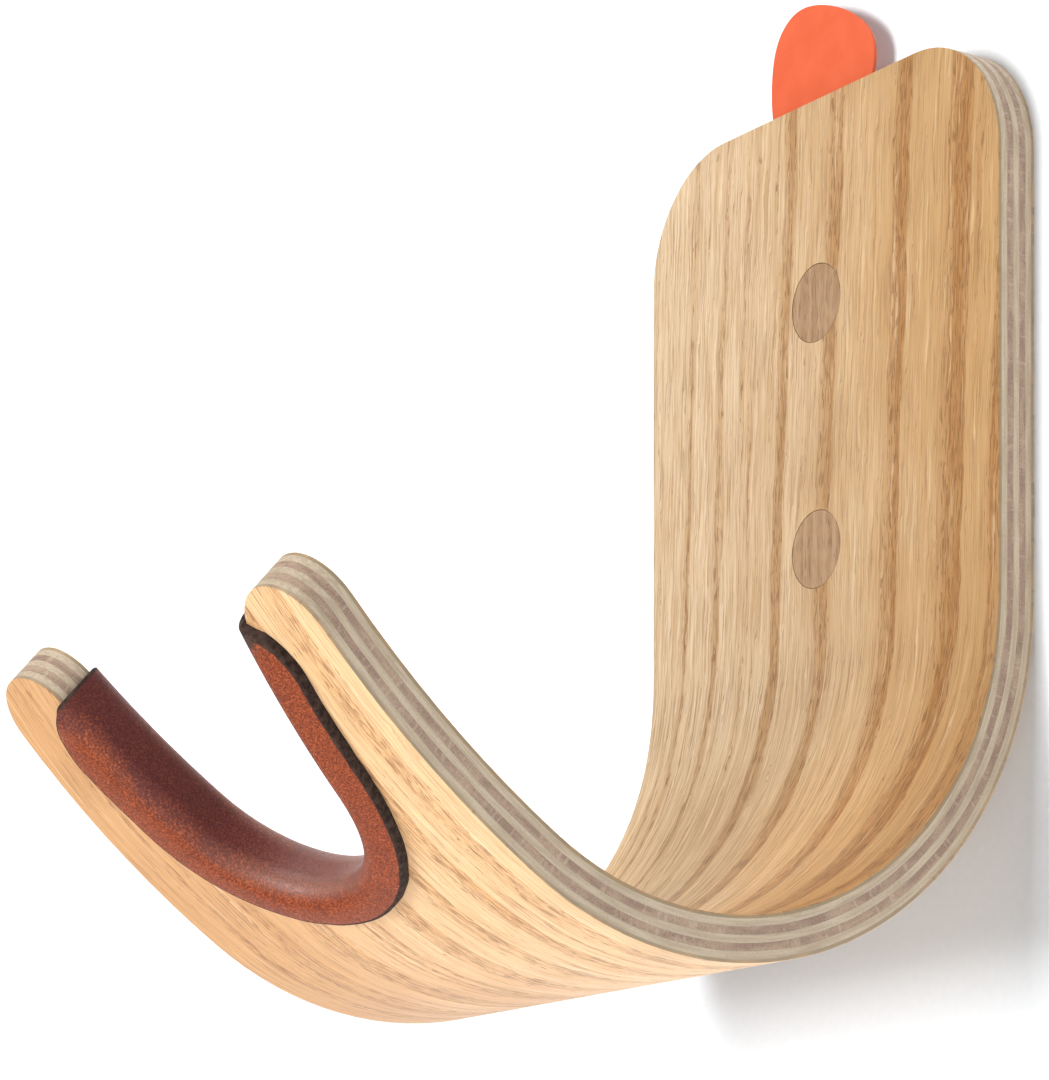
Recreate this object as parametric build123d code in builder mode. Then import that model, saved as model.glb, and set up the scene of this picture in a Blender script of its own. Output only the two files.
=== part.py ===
from build123d import *

import math
import os

# Wall guitar hanger: a J of moulded plywood, screwed to the wall through its plate, whose raised arm ends
# in a leather-lined fork for the guitar's neck. Millimetres. X = 0 is the plane of symmetry, the wall is
# the plane Y = 0 with the hanger on its -Y side, and Z is up. The origin is on the wall, midway between
# the two screws.

# Plywood lay-up, counted from the concave (front) face to the convex (wall) face
FACE_VENEER = 0.55
PLY = 1.2
PLY_COUNT = 5
THICKNESS = 2 * FACE_VENEER + PLY_COUNT * PLY

# Side profile of the concave face: straight plate, easing curve, main bend, gently curved arm
WIDTH = 90.0
PLATE_TOP = 53.0
BEND_START = -34.0
EASING_RADIUS, EASING_ANGLE = 68.0, 9.0
BEND_RADIUS, BEND_ANGLE = 52.5, 115.0
ARM_RADIUS, ARM_ANGLE = 180.0, 19.0
PLATE_CORNER_RADIUS = 20.0

# Fork, drawn on a plane tangent to the arm this far beyond the end of the main bend
FORK_DISTANCE = 26.0
THROAT_RADIUS = 23.0
THROAT_CENTRE = 0.3
PRONG_TIP_RADIUS = 8.4
PRONG_TIP_CENTRE = 18.8
PRONG_TIP_OFFSET = WIDTH / 2 - PRONG_TIP_RADIUS
CUT_REACH = 15.0
FAR = 60.0

# Leather lining: folded over both faces of the fork's throat. It is cut by hand, so its ends differ a little
LEATHER = 2.0
LINING_GAP = 0.05
LINING_RADIUS = 31.5
LINING_CENTRE = 3.3
LEFT_END_RADIUS, LEFT_END_CENTRE = 9.9, (-23.9, 12.6)
RIGHT_END_RADIUS, RIGHT_END_CENTRE = 9.3, (25.2, 15.0)

# Screws and the wooden plugs that cover them
SCREW_SPACING = 40.0
SCREW_HEIGHTS = (SCREW_SPACING / 2, -SCREW_SPACING / 2)
SCREW_HOLE_RADIUS = 2.5
COUNTERBORE_DEPTH = 4.6
PLUG_RADIUS = 6.35
PLUG_CLEARANCE = 0.05
PLUG_THICKNESS = 1.9
PLUG_EDGE = 0.12
HEAD_RADIUS = 4.3
HEAD_HEIGHT = 2.6
HEAD_ROUNDING = 1.2
SHANK_RADIUS = 1.7
THREAD_RADIUS = 2.25
THREAD_LENGTH = 37.0
POINT_LENGTH = 5.0
RECESS_WIDTH = 1.0
RECESS_SPAN = 4.6
RECESS_DEPTH = 1.6

# Plectrum and its slot, which is a notch in the top edge of the core ply
SLOT_WIDTH = 34.0
SLOT_DEPTH = 12.0
PICK_THICKNESS = 0.7
PICK_TILT = -26.0
PICK_CROWN_RADIUS = 12.1
PICK_CROWN_HEIGHT = 17.7
PICK_SHOULDER_RADIUS = 7.6
PICK_SHOULDER = (6.3, 21.3)
PICK_TIP_RADIUS = 2.3
PICK_FLOOR_GAP = 0.4
PICK_TIP = (-11.6, PLATE_TOP - SLOT_DEPTH + PICK_FLOOR_GAP)
PICK_EDGE = 0.12

# Flare of the throat's straight sides: the line that is tangent to the throat and to a prong's tip
tip_rise = PRONG_TIP_CENTRE - THROAT_CENTRE
tip_distance = math.hypot(PRONG_TIP_OFFSET, tip_rise)
tip_bearing = math.degrees(math.atan2(PRONG_TIP_OFFSET, tip_rise))
FLARE = tip_bearing - math.degrees(math.asin((THROAT_RADIUS + PRONG_TIP_RADIUS) / tip_distance))

# The front face of the plate, and the core ply's middle plane, which holds the plectrum
FRONT = Plane.XZ.offset(THICKNESS)
PICK_PLANE = Plane.XZ.offset(THICKNESS / 2)


def face_line(depth):
    """Draw the side profile at a depth below the concave face, from the plate's top to beyond the tips."""
    plate = Line((depth - THICKNESS, PLATE_TOP), (depth - THICKNESS, BEND_START))
    easing = JernArc(plate @ 1, plate % 1, EASING_RADIUS + depth, -EASING_ANGLE)
    bend = JernArc(easing @ 1, easing % 1, BEND_RADIUS + depth, -BEND_ANGLE)
    arm = JernArc(bend @ 1, bend % 1, ARM_RADIUS + depth, -ARM_ANGLE)
    return plate, arm


def fork_plane():
    """The plane tangent to the arm's concave face at the fork: X across, Y towards the tips, Z outwards."""
    with BuildLine(Plane.YZ):
        arm = face_line(0)[1]
    along = FORK_DISTANCE / arm.length
    outwards = (arm % along).cross(Vector(-1, 0, 0))
    return Plane(origin=arm @ along, x_dir=(1, 0, 0), z_dir=outwards)


FORK = fork_plane()


def slab(near, far):
    """Add the moulded sheet between two depths below the concave face, at full width."""
    with BuildSketch(Plane.YZ) as profile:
        with BuildLine():
            near_plate, near_arm = face_line(near)
            far_plate, far_arm = face_line(far)
            Line(near_plate @ 0, far_plate @ 0)
            Line(near_arm @ 1, far_arm @ 1)
        make_face()
    extrude(profile.sketch, amount=WIDTH / 2, both=True)


def fork_outline():
    """Draw everything that is cut away around the prongs: the throat and the space past the tips."""
    with BuildLine() as outline:
        throat_end = CenterArc((0, THROAT_CENTRE), THROAT_RADIUS, -90, 90 - FLARE) @ 1
        tip = CenterArc((PRONG_TIP_OFFSET, PRONG_TIP_CENTRE), PRONG_TIP_RADIUS, 180 - FLARE, FLARE - 180)
        Line(throat_end, tip @ 0)
        Polyline(tip @ 1, (FAR, PRONG_TIP_CENTRE), (FAR, FAR), (0, FAR))
        mirror(about=Plane.YZ)
    make_face(outline.edges())


def throat(inset):
    """Draw the throat, its walls moved inwards by an inset, open past the tips."""
    radius = THROAT_RADIUS - inset
    with BuildLine() as outline:
        side = CenterArc((0, THROAT_CENTRE), radius, -90, 90 - FLARE)
        rise = FAR - (side @ 1).Y
        corner = side @ 1 + Vector(rise * math.tan(math.radians(FLARE)), rise)
        Polyline(side @ 1, corner, (0, FAR))
        mirror(about=Plane.YZ)
    make_face(outline.edges())


def moulded_layer(near, far, slotted=False):
    """One layer of the plywood, trimmed to outline and drilled for the screws; the core is also slotted."""
    with BuildPart() as layer:
        slab(near, far)
        with BuildSketch(Plane.XZ):
            with Locations((0, PLATE_TOP)):
                Rectangle(WIDTH, 4 * PLATE_TOP, align=(Align.CENTER, Align.MAX))
            upper_corners = vertices().group_by(Axis.Y)[-1]
            fillet(upper_corners, PLATE_CORNER_RADIUS)
        extrude(amount=4 * PLATE_TOP, both=True, mode=Mode.INTERSECT)
        with BuildSketch(FORK):
            fork_outline()
        extrude(amount=CUT_REACH, both=True, mode=Mode.SUBTRACT)
        with Locations(FRONT):
            with Locations(*[(0, height) for height in SCREW_HEIGHTS]):
                CounterBoreHole(SCREW_HOLE_RADIUS, PLUG_RADIUS, COUNTERBORE_DEPTH, depth=2 * THICKNESS)
        if slotted:
            with BuildSketch(PICK_PLANE):
                with Locations((0, PLATE_TOP)):
                    Rectangle(SLOT_WIDTH, 2 * SLOT_DEPTH)
            extrude(amount=PLY, both=True, mode=Mode.SUBTRACT)
    return layer


def finish(piece, label):
    """Name a piece and write it to its STEP file."""
    piece.part.label = label
    export_step(piece.part, f"parts/{label}.step")


os.makedirs("parts", exist_ok=True)

# Face veneers
front_face_veneer = moulded_layer(0, FACE_VENEER)
finish(front_face_veneer, "front_face_veneer")

back_face_veneer = moulded_layer(THICKNESS - FACE_VENEER, THICKNESS)
finish(back_face_veneer, "back_face_veneer")

# Inner plies, front to back; every second one has its grain across the hanger
ply_names = ("front_long_ply", "front_cross_ply", "core_ply", "back_cross_ply", "back_long_ply")
for number, ply_name in enumerate(ply_names):
    ply_near = FACE_VENEER + number * PLY
    ply = moulded_layer(ply_near, ply_near + PLY, slotted=ply_name == "core_ply")
    finish(ply, ply_name)

# Wood that the lining must clear: the arm, a little oversize, outside the throat
with BuildPart() as wood_envelope:
    slab(-LINING_GAP, THICKNESS + LINING_GAP)
    with BuildSketch(FORK):
        throat(LINING_GAP)
    extrude(amount=CUT_REACH, both=True, mode=Mode.SUBTRACT)

# Leather lining: a thicker sheet trimmed to the lining's outline, with the wood taken out of it
with BuildPart() as leather_lining:
    slab(-LEATHER, THICKNESS + LEATHER)
    with BuildSketch(FORK):
        with Locations((0, LINING_CENTRE)):
            Circle(LINING_RADIUS)
        with Locations(LEFT_END_CENTRE):
            Circle(LEFT_END_RADIUS)
        with Locations(RIGHT_END_CENTRE):
            Circle(RIGHT_END_RADIUS)
        make_hull()
    extrude(amount=CUT_REACH, both=True, mode=Mode.INTERSECT)
    with BuildSketch(FORK):
        throat(LEATHER + LINING_GAP)
    extrude(amount=CUT_REACH, both=True, mode=Mode.SUBTRACT)
    add(wood_envelope.part, mode=Mode.SUBTRACT)
finish(leather_lining, "leather_lining")

# Screws: pan head with a cross recess, plain neck inside the plywood, threaded envelope behind it
for screw_name, height in zip(("upper_screw", "lower_screw"), SCREW_HEIGHTS):
    with BuildPart() as screw:
        seat = COUNTERBORE_DEPTH - THICKNESS
        with BuildSketch(Plane.XY):
            with BuildLine():
                Polyline(
                    (0, seat - HEAD_HEIGHT),
                    (HEAD_RADIUS, seat - HEAD_HEIGHT),
                    (HEAD_RADIUS, seat),
                    (SHANK_RADIUS, seat),
                    (SHANK_RADIUS, 0),
                    (THREAD_RADIUS, 0),
                    (THREAD_RADIUS, THREAD_LENGTH),
                    (0, THREAD_LENGTH + POINT_LENGTH),
                    close=True,
                )
            make_face()
        revolve(axis=Axis.Y)
        head_rim = edges().filter_by(GeomType.CIRCLE).sort_by(Axis.Y)[0]
        fillet(head_rim, HEAD_ROUNDING)
        with BuildSketch(Plane.XZ.offset(HEAD_HEIGHT - seat)):
            Rectangle(RECESS_SPAN, RECESS_WIDTH)
            Rectangle(RECESS_WIDTH, RECESS_SPAN)
        extrude(amount=-RECESS_DEPTH, taper=8, mode=Mode.SUBTRACT)
    screw.part.position = (0, 0, height)
    finish(screw, screw_name)

# Wooden plugs, flush with the plate's front face
for plug_name, height in zip(("upper_plug", "lower_plug"), SCREW_HEIGHTS):
    with BuildPart() as plug:
        with BuildSketch(FRONT):
            with Locations((0, height)):
                Circle(PLUG_RADIUS - PLUG_CLEARANCE)
        extrude(amount=-PLUG_THICKNESS)
        front_rim = faces().sort_by(Axis.Y)[0].edges()
        chamfer(front_rim, PLUG_EDGE)
    finish(plug, plug_name)

# Plectrum, leaning in its slot with the point on the slot's floor
PICK_OUTLINE_PLANE = PICK_PLANE * Pos(*PICK_TIP) * Rot(0, 0, PICK_TILT)
with BuildPart() as guitar_pick:
    with BuildSketch(PICK_OUTLINE_PLANE):
        with Locations((0, PICK_TIP_RADIUS)):
            Circle(PICK_TIP_RADIUS)
        with Locations(PICK_SHOULDER, (-PICK_SHOULDER[0], PICK_SHOULDER[1])):
            Circle(PICK_SHOULDER_RADIUS)
        with Locations((0, PICK_CROWN_HEIGHT)):
            Circle(PICK_CROWN_RADIUS)
        make_hull()
    extrude(amount=PICK_THICKNESS / 2, both=True)
    rims = faces().filter_by(Axis.Y).edges()
    chamfer(rims, PICK_EDGE)
finish(guitar_pick, "guitar_pick")
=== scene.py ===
import math

import bmesh
import bpy
import numpy as np
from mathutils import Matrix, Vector, noise


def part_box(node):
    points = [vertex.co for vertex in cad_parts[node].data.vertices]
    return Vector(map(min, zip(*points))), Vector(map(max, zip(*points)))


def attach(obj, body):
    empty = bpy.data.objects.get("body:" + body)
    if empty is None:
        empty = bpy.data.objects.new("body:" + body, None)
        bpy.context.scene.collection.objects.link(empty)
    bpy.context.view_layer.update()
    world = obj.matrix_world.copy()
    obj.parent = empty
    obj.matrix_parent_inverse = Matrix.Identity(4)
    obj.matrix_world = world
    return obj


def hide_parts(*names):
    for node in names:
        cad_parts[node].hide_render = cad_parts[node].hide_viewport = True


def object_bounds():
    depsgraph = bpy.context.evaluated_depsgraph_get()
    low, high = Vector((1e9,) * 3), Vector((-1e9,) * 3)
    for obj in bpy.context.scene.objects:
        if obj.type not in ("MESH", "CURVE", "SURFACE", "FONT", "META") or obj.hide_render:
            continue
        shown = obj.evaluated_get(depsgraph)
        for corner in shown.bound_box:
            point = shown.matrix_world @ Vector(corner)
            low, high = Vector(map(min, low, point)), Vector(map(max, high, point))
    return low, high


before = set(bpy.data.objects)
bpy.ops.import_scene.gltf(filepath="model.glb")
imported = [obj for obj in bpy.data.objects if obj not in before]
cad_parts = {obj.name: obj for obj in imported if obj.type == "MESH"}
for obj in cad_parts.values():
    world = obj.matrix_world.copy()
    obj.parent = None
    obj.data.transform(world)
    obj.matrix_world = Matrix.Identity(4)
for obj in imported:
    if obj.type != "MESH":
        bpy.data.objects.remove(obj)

# Looks of the wall guitar hanger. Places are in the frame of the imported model: metres, X across, the wall
# at Y = 0, Z up. The sheet's own shape is worked out in millimetres, as a furniture maker draws it.
cad_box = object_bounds()
MM = 0.001

# ---------------------------------------------------------------- dimensions (millimetres and degrees)

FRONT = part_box("upper_plug")[0].y / MM
THICKNESS = -FRONT
HALF_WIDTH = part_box("core_ply")[1].x / MM
FACE_VENEER = 0.55
PLY = 1.2

# Side profile of the concave face, from the plate down and round to the arm
BEND_START = -34.0
EASING_RADIUS, EASING_ANGLE = 68.0, 9.0
BEND_RADIUS, BEND_ANGLE = 52.5, 115.0
ARM_RADIUS = 180.0
FORK_DISTANCE = 26.0

# Fork and its leather lining, on the plane that touches the arm at the fork
THROAT_RADIUS = 23.0
THROAT_CENTRE = 0.3
PRONG_TIP_RADIUS = 8.4
PRONG_TIP_CENTRE = 18.8
LEATHER = 2.0
LINING_GAP = 0.05
LINING_RADIUS, LINING_CENTRE = 31.5, 3.3
LEFT_END_RADIUS, LEFT_END_CENTRE = 9.9, (23.9, 12.6)
RIGHT_END_RADIUS, RIGHT_END_CENTRE = 9.3, (25.2, 15.0)
FOLD_RADIUS = 4.2
PARING = 0.45
PARING_RUN = 4.0
CUT_ROUNDING = 0.5
LEFT_DARK_END, RIGHT_DARK_END = 1.0, 6.0
RIM_WOBBLE, RIM_WOBBLE_RATE = 0.15, 0.35
FLARE_AT_RIM = 0.8
STRETCH_FADE = 12.0
WORN_LENGTH = 30.0

# How finely the lining is drawn: along each half, round its end, and over its section
LENGTH_STEPS = 120
END_STEPS = 5
CUT_STEPS = 4
MARGIN_STEPS = 12
FOLD_STEPS = 14
WALL_STEPS = 4

# Screws, along the Y direction
HEAD_TOP, HEAD_SEAT = -5.1, -2.5
HEAD_RADIUS, HEAD_ROUNDING = 4.3, 1.2
NECK_RADIUS = 1.7
THREAD_RADIUS, THREAD_CORE = 2.25, 1.6
THREAD_END, SCREW_END = 37.0, 42.0
THREAD_PITCH = 1.8
THREAD_FLANK = 0.3
RECESS_WIDTH, RECESS_SPAN, RECESS_DEPTH = 1.0, 4.6, 1.6
RECESS_SLOPE = 0.3
SCREW_SIDES = 96
HEAD_STEPS, ROUNDING_STEPS = 16, 6
ROWS_PER_TURN = 12

# Plectrum
PICK_TILT = -26.0
PICK_CIRCLES = ((0, 2.3, 2.3), (6.3, 21.3, 7.6), (-6.3, 21.3, 7.6), (0, 17.7, 12.1))
PICK_TIP = (-11.6, 41.4)
PICK_THICKNESS = 0.7
PICK_ROUNDING = 0.3
PICK_EASING = 0.5
PICK_POINTS = 160
EDGE_STEPS = 8

# Camera: the picture's middle is high above the camera's level, so the lens is shifted up
CAMERA_PLACE = (0.5006, -0.4018, -0.1720)
CAMERA_AZIMUTH = 56.005
CAMERA_LENS = 130.47
CAMERA_SHIFT = 0.875


def polar(centre, radius, angle):
    """The point of the side profile at an angle below the outward (+Y) direction, in degrees."""
    turn = math.radians(angle)
    return (centre[0] + radius * math.cos(turn), centre[1] - radius * math.sin(turn))


BEND_ENTRY = EASING_ANGLE
BEND_EXIT = EASING_ANGLE + BEND_ANGLE
EASING_CENTRE = (FRONT - EASING_RADIUS, BEND_START)
BEND_CENTRE = polar(EASING_CENTRE, EASING_RADIUS - BEND_RADIUS, BEND_ENTRY)
ARM_CENTRE = polar(BEND_CENTRE, BEND_RADIUS - ARM_RADIUS, BEND_EXIT)
FORK_ANGLE = BEND_EXIT + math.degrees(FORK_DISTANCE / ARM_RADIUS)

# Flare of the throat's straight walls, from the tangent to the throat and a prong's tip
tip_offset = HALF_WIDTH - PRONG_TIP_RADIUS
tip_rise = PRONG_TIP_CENTRE - THROAT_CENTRE
tip_distance = math.hypot(tip_offset, tip_rise)
tip_bearing = math.degrees(math.atan2(tip_offset, tip_rise))
FLARE = tip_bearing - math.degrees(math.asin((THROAT_RADIUS + PRONG_TIP_RADIUS) / tip_distance))


# ---------------------------------------------------------------- node trees

class Tree:
    """Adds shader nodes to a tree; every method returns the socket that carries its result."""

    def __init__(self, tree):
        self.tree = tree

    def node(self, kind, inputs=None, **settings):
        made = self.tree.nodes.new(kind)
        for name, value in settings.items():
            setattr(made, name, value)
        for name, value in (inputs or {}).items():
            self.feed(made.inputs[name], value)
        return made

    def feed(self, socket, value):
        if isinstance(value, bpy.types.NodeSocket):
            self.tree.links.new(value, socket)
        else:
            socket.default_value = value

    def math(self, operation, first, second=0.0, third=0.0):
        """One of Blender's math operations, such as ADD, or MULTIPLY_ADD for first * second + third."""
        made = self.node("ShaderNodeMath", {0: first, 1: second, 2: third}, operation=operation)
        return made.outputs[0]

    def remap(self, value, low, high, to_low=0.0, to_high=1.0):
        """Takes low..high smoothly to to_low..to_high, and stays level outside."""
        inputs = {"Value": value, "From Min": low, "From Max": high, "To Min": to_low, "To Max": to_high}
        made = self.node("ShaderNodeMapRange", inputs, interpolation_type="SMOOTHSTEP")
        return made.outputs[0]

    def vector(self, x, y, z):
        return self.node("ShaderNodeCombineXYZ", {0: x, 1: y, 2: z}).outputs[0]

    def split(self, vector):
        return self.node("ShaderNodeSeparateXYZ", {0: vector}).outputs

    def noise(self, vector, scale=1.0, detail=2.0, roughness=0.5, distortion=0.0):
        inputs = {"Vector": vector, "Scale": scale, "Detail": detail}
        inputs.update({"Roughness": roughness, "Distortion": distortion})
        return self.node("ShaderNodeTexNoise", inputs).outputs["Fac"]

    def cells(self, vector, scale):
        return self.node("ShaderNodeTexVoronoi", {"Vector": vector, "Scale": scale}).outputs["Distance"]

    def mix(self, share, first, second, blend="MIX"):
        """A blend of two colours."""
        inputs = {0: share, 6: first, 7: second}
        made = self.node("ShaderNodeMix", inputs, data_type="RGBA", blend_type=blend, clamp_factor=True)
        return made.outputs[2]

    def choose(self, share, first, second):
        """A blend of two numbers: the first where share is 0, the second where it is 1."""
        made = self.node("ShaderNodeMix", {0: share, 2: first, 3: second}, data_type="FLOAT")
        return made.outputs[0]

    def curve(self, value, low, high, stops):
        """A smooth graph of value, drawn through stops of (value, height)."""
        share = self.remap_linear(value, low, high)
        ramp = self.node("ShaderNodeValToRGB", {0: share})
        ramp.color_ramp.interpolation = "EASE"
        elements = ramp.color_ramp.elements
        while len(elements) < len(stops):
            elements.new(0.5)
        for element, (place, height) in zip(elements, stops):
            element.position = (place - low) / (high - low)
            element.color = (height, height, height, 1.0)
        return ramp.outputs[0]

    def remap_linear(self, value, low, high):
        """Takes low..high straight to 0..1, and stays level outside."""
        inputs = {"Value": value, "From Min": low, "From Max": high}
        return self.node("ShaderNodeMapRange", inputs).outputs[0]

    def calm(self, colour):
        """The same colour, but greyer and darker where it only lights something else."""
        bounced = self.node("ShaderNodeLightPath").outputs["Is Diffuse Ray"]
        inputs = {"Saturation": 0.5, "Value": 0.85, "Fac": bounced, "Color": colour}
        return self.node("ShaderNodeHueSaturation", inputs).outputs[0]

    def bump(self, height, distance, strength):
        inputs = {"Height": height, "Distance": distance, "Strength": strength}
        return self.node("ShaderNodeBump", inputs).outputs[0]


def srgb(red, green, blue):
    """A colour given as 0 to 255 sRGB values, as the linear colour that Blender works in."""
    def linear(value):
        share = value / 255
        return share / 12.92 if share <= 0.04045 else ((share + 0.055) / 1.055) ** 2.4
    return (linear(red), linear(green), linear(blue), 1.0)


def new_material(name):
    """A new material, its node tree and its main shader."""
    material = bpy.data.materials.new(name)
    material.use_nodes = True
    shader = material.node_tree.nodes["Principled BSDF"]
    return material, Tree(material.node_tree), shader


def make_sheet_space():
    """A node group giving a point of the bent sheet as if it were flat: across, along and depth, in mm."""
    group = bpy.data.node_groups.new("sheet_space", "ShaderNodeTree")
    for name in ("Across", "Along", "Depth"):
        group.interface.new_socket(name, in_out="OUTPUT", socket_type="NodeSocketFloat")
    tree = Tree(group)
    point = tree.split(tree.node("ShaderNodeTexCoord").outputs["Object"])
    across, y, z = (tree.math("DIVIDE", socket, MM) for socket in point)

    def angle_and_distance(centre):
        out = tree.math("SUBTRACT", y, centre[0])
        down = tree.math("SUBTRACT", centre[1], z)
        angle = tree.math("ARCTAN2", down, out)
        squares = tree.math("MULTIPLY_ADD", out, out, tree.math("MULTIPLY", down, down))
        return angle, tree.math("SQRT", squares)

    def arc_length(angle, start, sweep, radius):
        begin = math.radians(start)
        turned = tree.math("SUBTRACT", angle, begin)
        clamped = tree.math("MINIMUM", tree.math("MAXIMUM", turned, 0.0), math.radians(sweep))
        return tree.math("MULTIPLY", clamped, radius)

    easing_angle, easing_distance = angle_and_distance(EASING_CENTRE)
    bend_angle, bend_distance = angle_and_distance(BEND_CENTRE)
    arm_angle, arm_distance = angle_and_distance(ARM_CENTRE)
    past_middle = tree.math("LESS_THAN", y, BEND_CENTRE[0])
    past_bend = tree.math("GREATER_THAN", arm_angle, math.radians(BEND_EXIT))
    on_arm = tree.math("MULTIPLY", past_middle, past_bend)
    arm_length = arc_length(arm_angle, BEND_EXIT, 90.0, ARM_RADIUS)

    along = tree.math("MINIMUM", tree.math("SUBTRACT", BEND_START, z), 0.0)
    along = tree.math("ADD", along, arc_length(easing_angle, 0.0, EASING_ANGLE, EASING_RADIUS))
    along = tree.math("ADD", along, arc_length(bend_angle, BEND_ENTRY, BEND_ANGLE, BEND_RADIUS))
    along = tree.math("MULTIPLY_ADD", arm_length, on_arm, along)

    below_plate = tree.math("LESS_THAN", z, BEND_START)
    in_bend = tree.math("GREATER_THAN", bend_angle, math.radians(BEND_ENTRY))
    depth = tree.math("SUBTRACT", y, FRONT)
    depth = tree.choose(below_plate, depth, tree.math("SUBTRACT", easing_distance, EASING_RADIUS))
    depth = tree.choose(in_bend, depth, tree.math("SUBTRACT", bend_distance, BEND_RADIUS))
    depth = tree.choose(on_arm, depth, tree.math("SUBTRACT", arm_distance, ARM_RADIUS))

    tree.node("NodeGroupOutput", {"Across": across, "Along": along, "Depth": depth})
    return group


SHEET_SPACE = make_sheet_space()


def sheet_space(tree):
    """Across, along and depth sockets, in millimetres, in a material's tree."""
    made = tree.node("ShaderNodeGroup", node_tree=SHEET_SPACE)
    return made.outputs["Across"], made.outputs["Along"], made.outputs["Depth"]


# ---------------------------------------------------------------- wood

def stretched(tree, line, along, across_scale, along_scale, seed, detail=2.0):
    """Noise drawn out along the grain; the two scales are in repeats per millimetre."""
    across = tree.math("MULTIPLY", line, across_scale)
    return tree.noise(tree.vector(across, tree.math("MULTIPLY", along, along_scale), seed), detail=detail)


def straight_grain(tree, across, along, sway, lean):
    """The across place of the grain line that passes through a point: lines sway a little and lean."""
    slow = stretched(tree, across, along, 0.03, 0.018, 0.0)
    quick = stretched(tree, across, along, 0.2, 0.05, 5.0)
    ragged = stretched(tree, across, along, 0.9, 0.14, 8.0)
    place = tree.math("MULTIPLY_ADD", tree.math("SUBTRACT", slow, 0.5), sway, across)
    place = tree.math("MULTIPLY_ADD", tree.math("SUBTRACT", quick, 0.5), 0.3 * sway, place)
    place = tree.math("MULTIPLY_ADD", tree.math("SUBTRACT", ragged, 0.5), 1.3, place)
    return tree.math("MULTIPLY_ADD", along, lean, place)


def ash_material(name, palette, bands, sway, lean, front):
    """Lacquered ash veneer: broad growth bands, fine fibres, rows of short dark pores."""
    material, tree, shader = new_material(name)
    across, along, depth = sheet_space(tree)
    line = straight_grain(tree, across, along, sway, lean)

    # Growth bands, paler and darker along the grain, with faint narrow rows between them
    band = tree.curve(line, -HALF_WIDTH, HALF_WIDTH, bands)
    patch = stretched(tree, line, along, 0.3, 0.022, 3.0)
    band = tree.math("MULTIPLY", band, tree.remap(patch, 0.25, 0.7, 0.6, 1.3))
    rows = stretched(tree, line, along, 0.62, 0.006, 7.0, 3.0)
    band = tree.math("ADD", band, tree.remap(rows, 0.5, 0.72, 0.0, 0.4))

    # Ground colour: paler on one side, warmer on the other, cloudy
    cloud = stretched(tree, line, along, 0.08, 0.03, 12.0, 3.0)
    sideways = tree.math("MULTIPLY_ADD", along, -0.1, tree.math("MULTIPLY", across, palette["warm side"]))
    sideways = tree.math("MULTIPLY_ADD", tree.math("SUBTRACT", cloud, 0.5), 40.0, sideways)
    warmth = tree.remap(sideways, *palette["warm range"])
    band_colour = tree.mix(warmth, palette["pale band"], palette["warm band"])
    colour = tree.mix(warmth, palette["pale"], palette["warm"])
    colour = tree.mix(tree.math("MINIMUM", band, 1.0), colour, band_colour)

    # The bend is redder than the plate, and painted lighter, in place of the light and highlights that fall
    # on it there; both most of all on the warm side
    bend_painted_light = tree.mix(warmth, palette["bend painted light"], palette["warm bend painted light"])
    ruddy_and_painted_light = tree.mix(tree.remap(along, 6.0, 60.0), srgb(255, 255, 255), bend_painted_light)
    colour = tree.mix(1.0, colour, ruddy_and_painted_light, "MULTIPLY")

    # Fibres
    fibre = stretched(tree, line, along, 2.6, 0.05, 1.0, 3.0)
    hair = stretched(tree, line, along, 5.0, 0.06, 14.0)
    colour = tree.mix(tree.remap(fibre, 0.4, 0.72, 0.0, 0.55), colour, palette["fibre"])
    colour = tree.mix(tree.remap_linear(hair, 0.47, 0.62), colour, tree.mix(0.55, colour, palette["fibre"]))
    streak = stretched(tree, line, along, 0.9, 0.03, 9.0)
    colour = tree.mix(tree.remap(streak, 0.56, 0.74, 0.0, 0.4), colour, palette["light"])

    # Pores: short dashes inside the bands, and long faint lines and thin dark threads everywhere
    short = stretched(tree, line, along, palette["pore rows"], 0.3, 2.0, 1.0)
    long = stretched(tree, line, along, 3.6, 0.07, 17.0, 1.0)
    limit = tree.remap(band, 0.0, 0.7, 0.8, palette["pore limit"])
    short_pore = tree.remap_linear(tree.math("SUBTRACT", short, limit), 0.0, 0.03)
    long_pore = tree.remap(long, 0.6, 0.68, 0.0, 0.6)
    thread = stretched(tree, line, along, 6.5, 0.05, 23.0, 1.0)
    thread_line = tree.math("MULTIPLY", tree.remap_linear(thread, 0.61, 0.65), 0.7)
    pore = tree.math("MAXIMUM", tree.math("MAXIMUM", short_pore, long_pore), thread_line)
    colour = tree.mix(tree.math("MULTIPLY", pore, palette["pore depth"]), colour, palette["pore"])

    # The veneer's thin cut edge is a little darker
    inside = depth if front else tree.math("SUBTRACT", THICKNESS, depth)
    stain = stretched(tree, depth, along, 0.5, 0.12, 6.0)
    edge = tree.math("MULTIPLY", tree.remap(inside, 0.03, 0.1), tree.remap(stain, 0.35, 0.65, 0.75, 1.0))
    colour = tree.mix(edge, colour, palette["edge"])

    height = tree.math("MULTIPLY_ADD", pore, -1.0, tree.math("MULTIPLY", fibre, 0.5))
    tree.feed(shader.inputs["Base Color"], tree.calm(colour))
    tree.feed(shader.inputs["Roughness"], tree.remap(fibre, 0.3, 0.7, 0.4, 0.56))
    tree.feed(shader.inputs["Normal"], tree.bump(height, 0.00008, 0.6))
    tree.feed(shader.inputs["Specular IOR Level"], 0.35)
    return material
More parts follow.
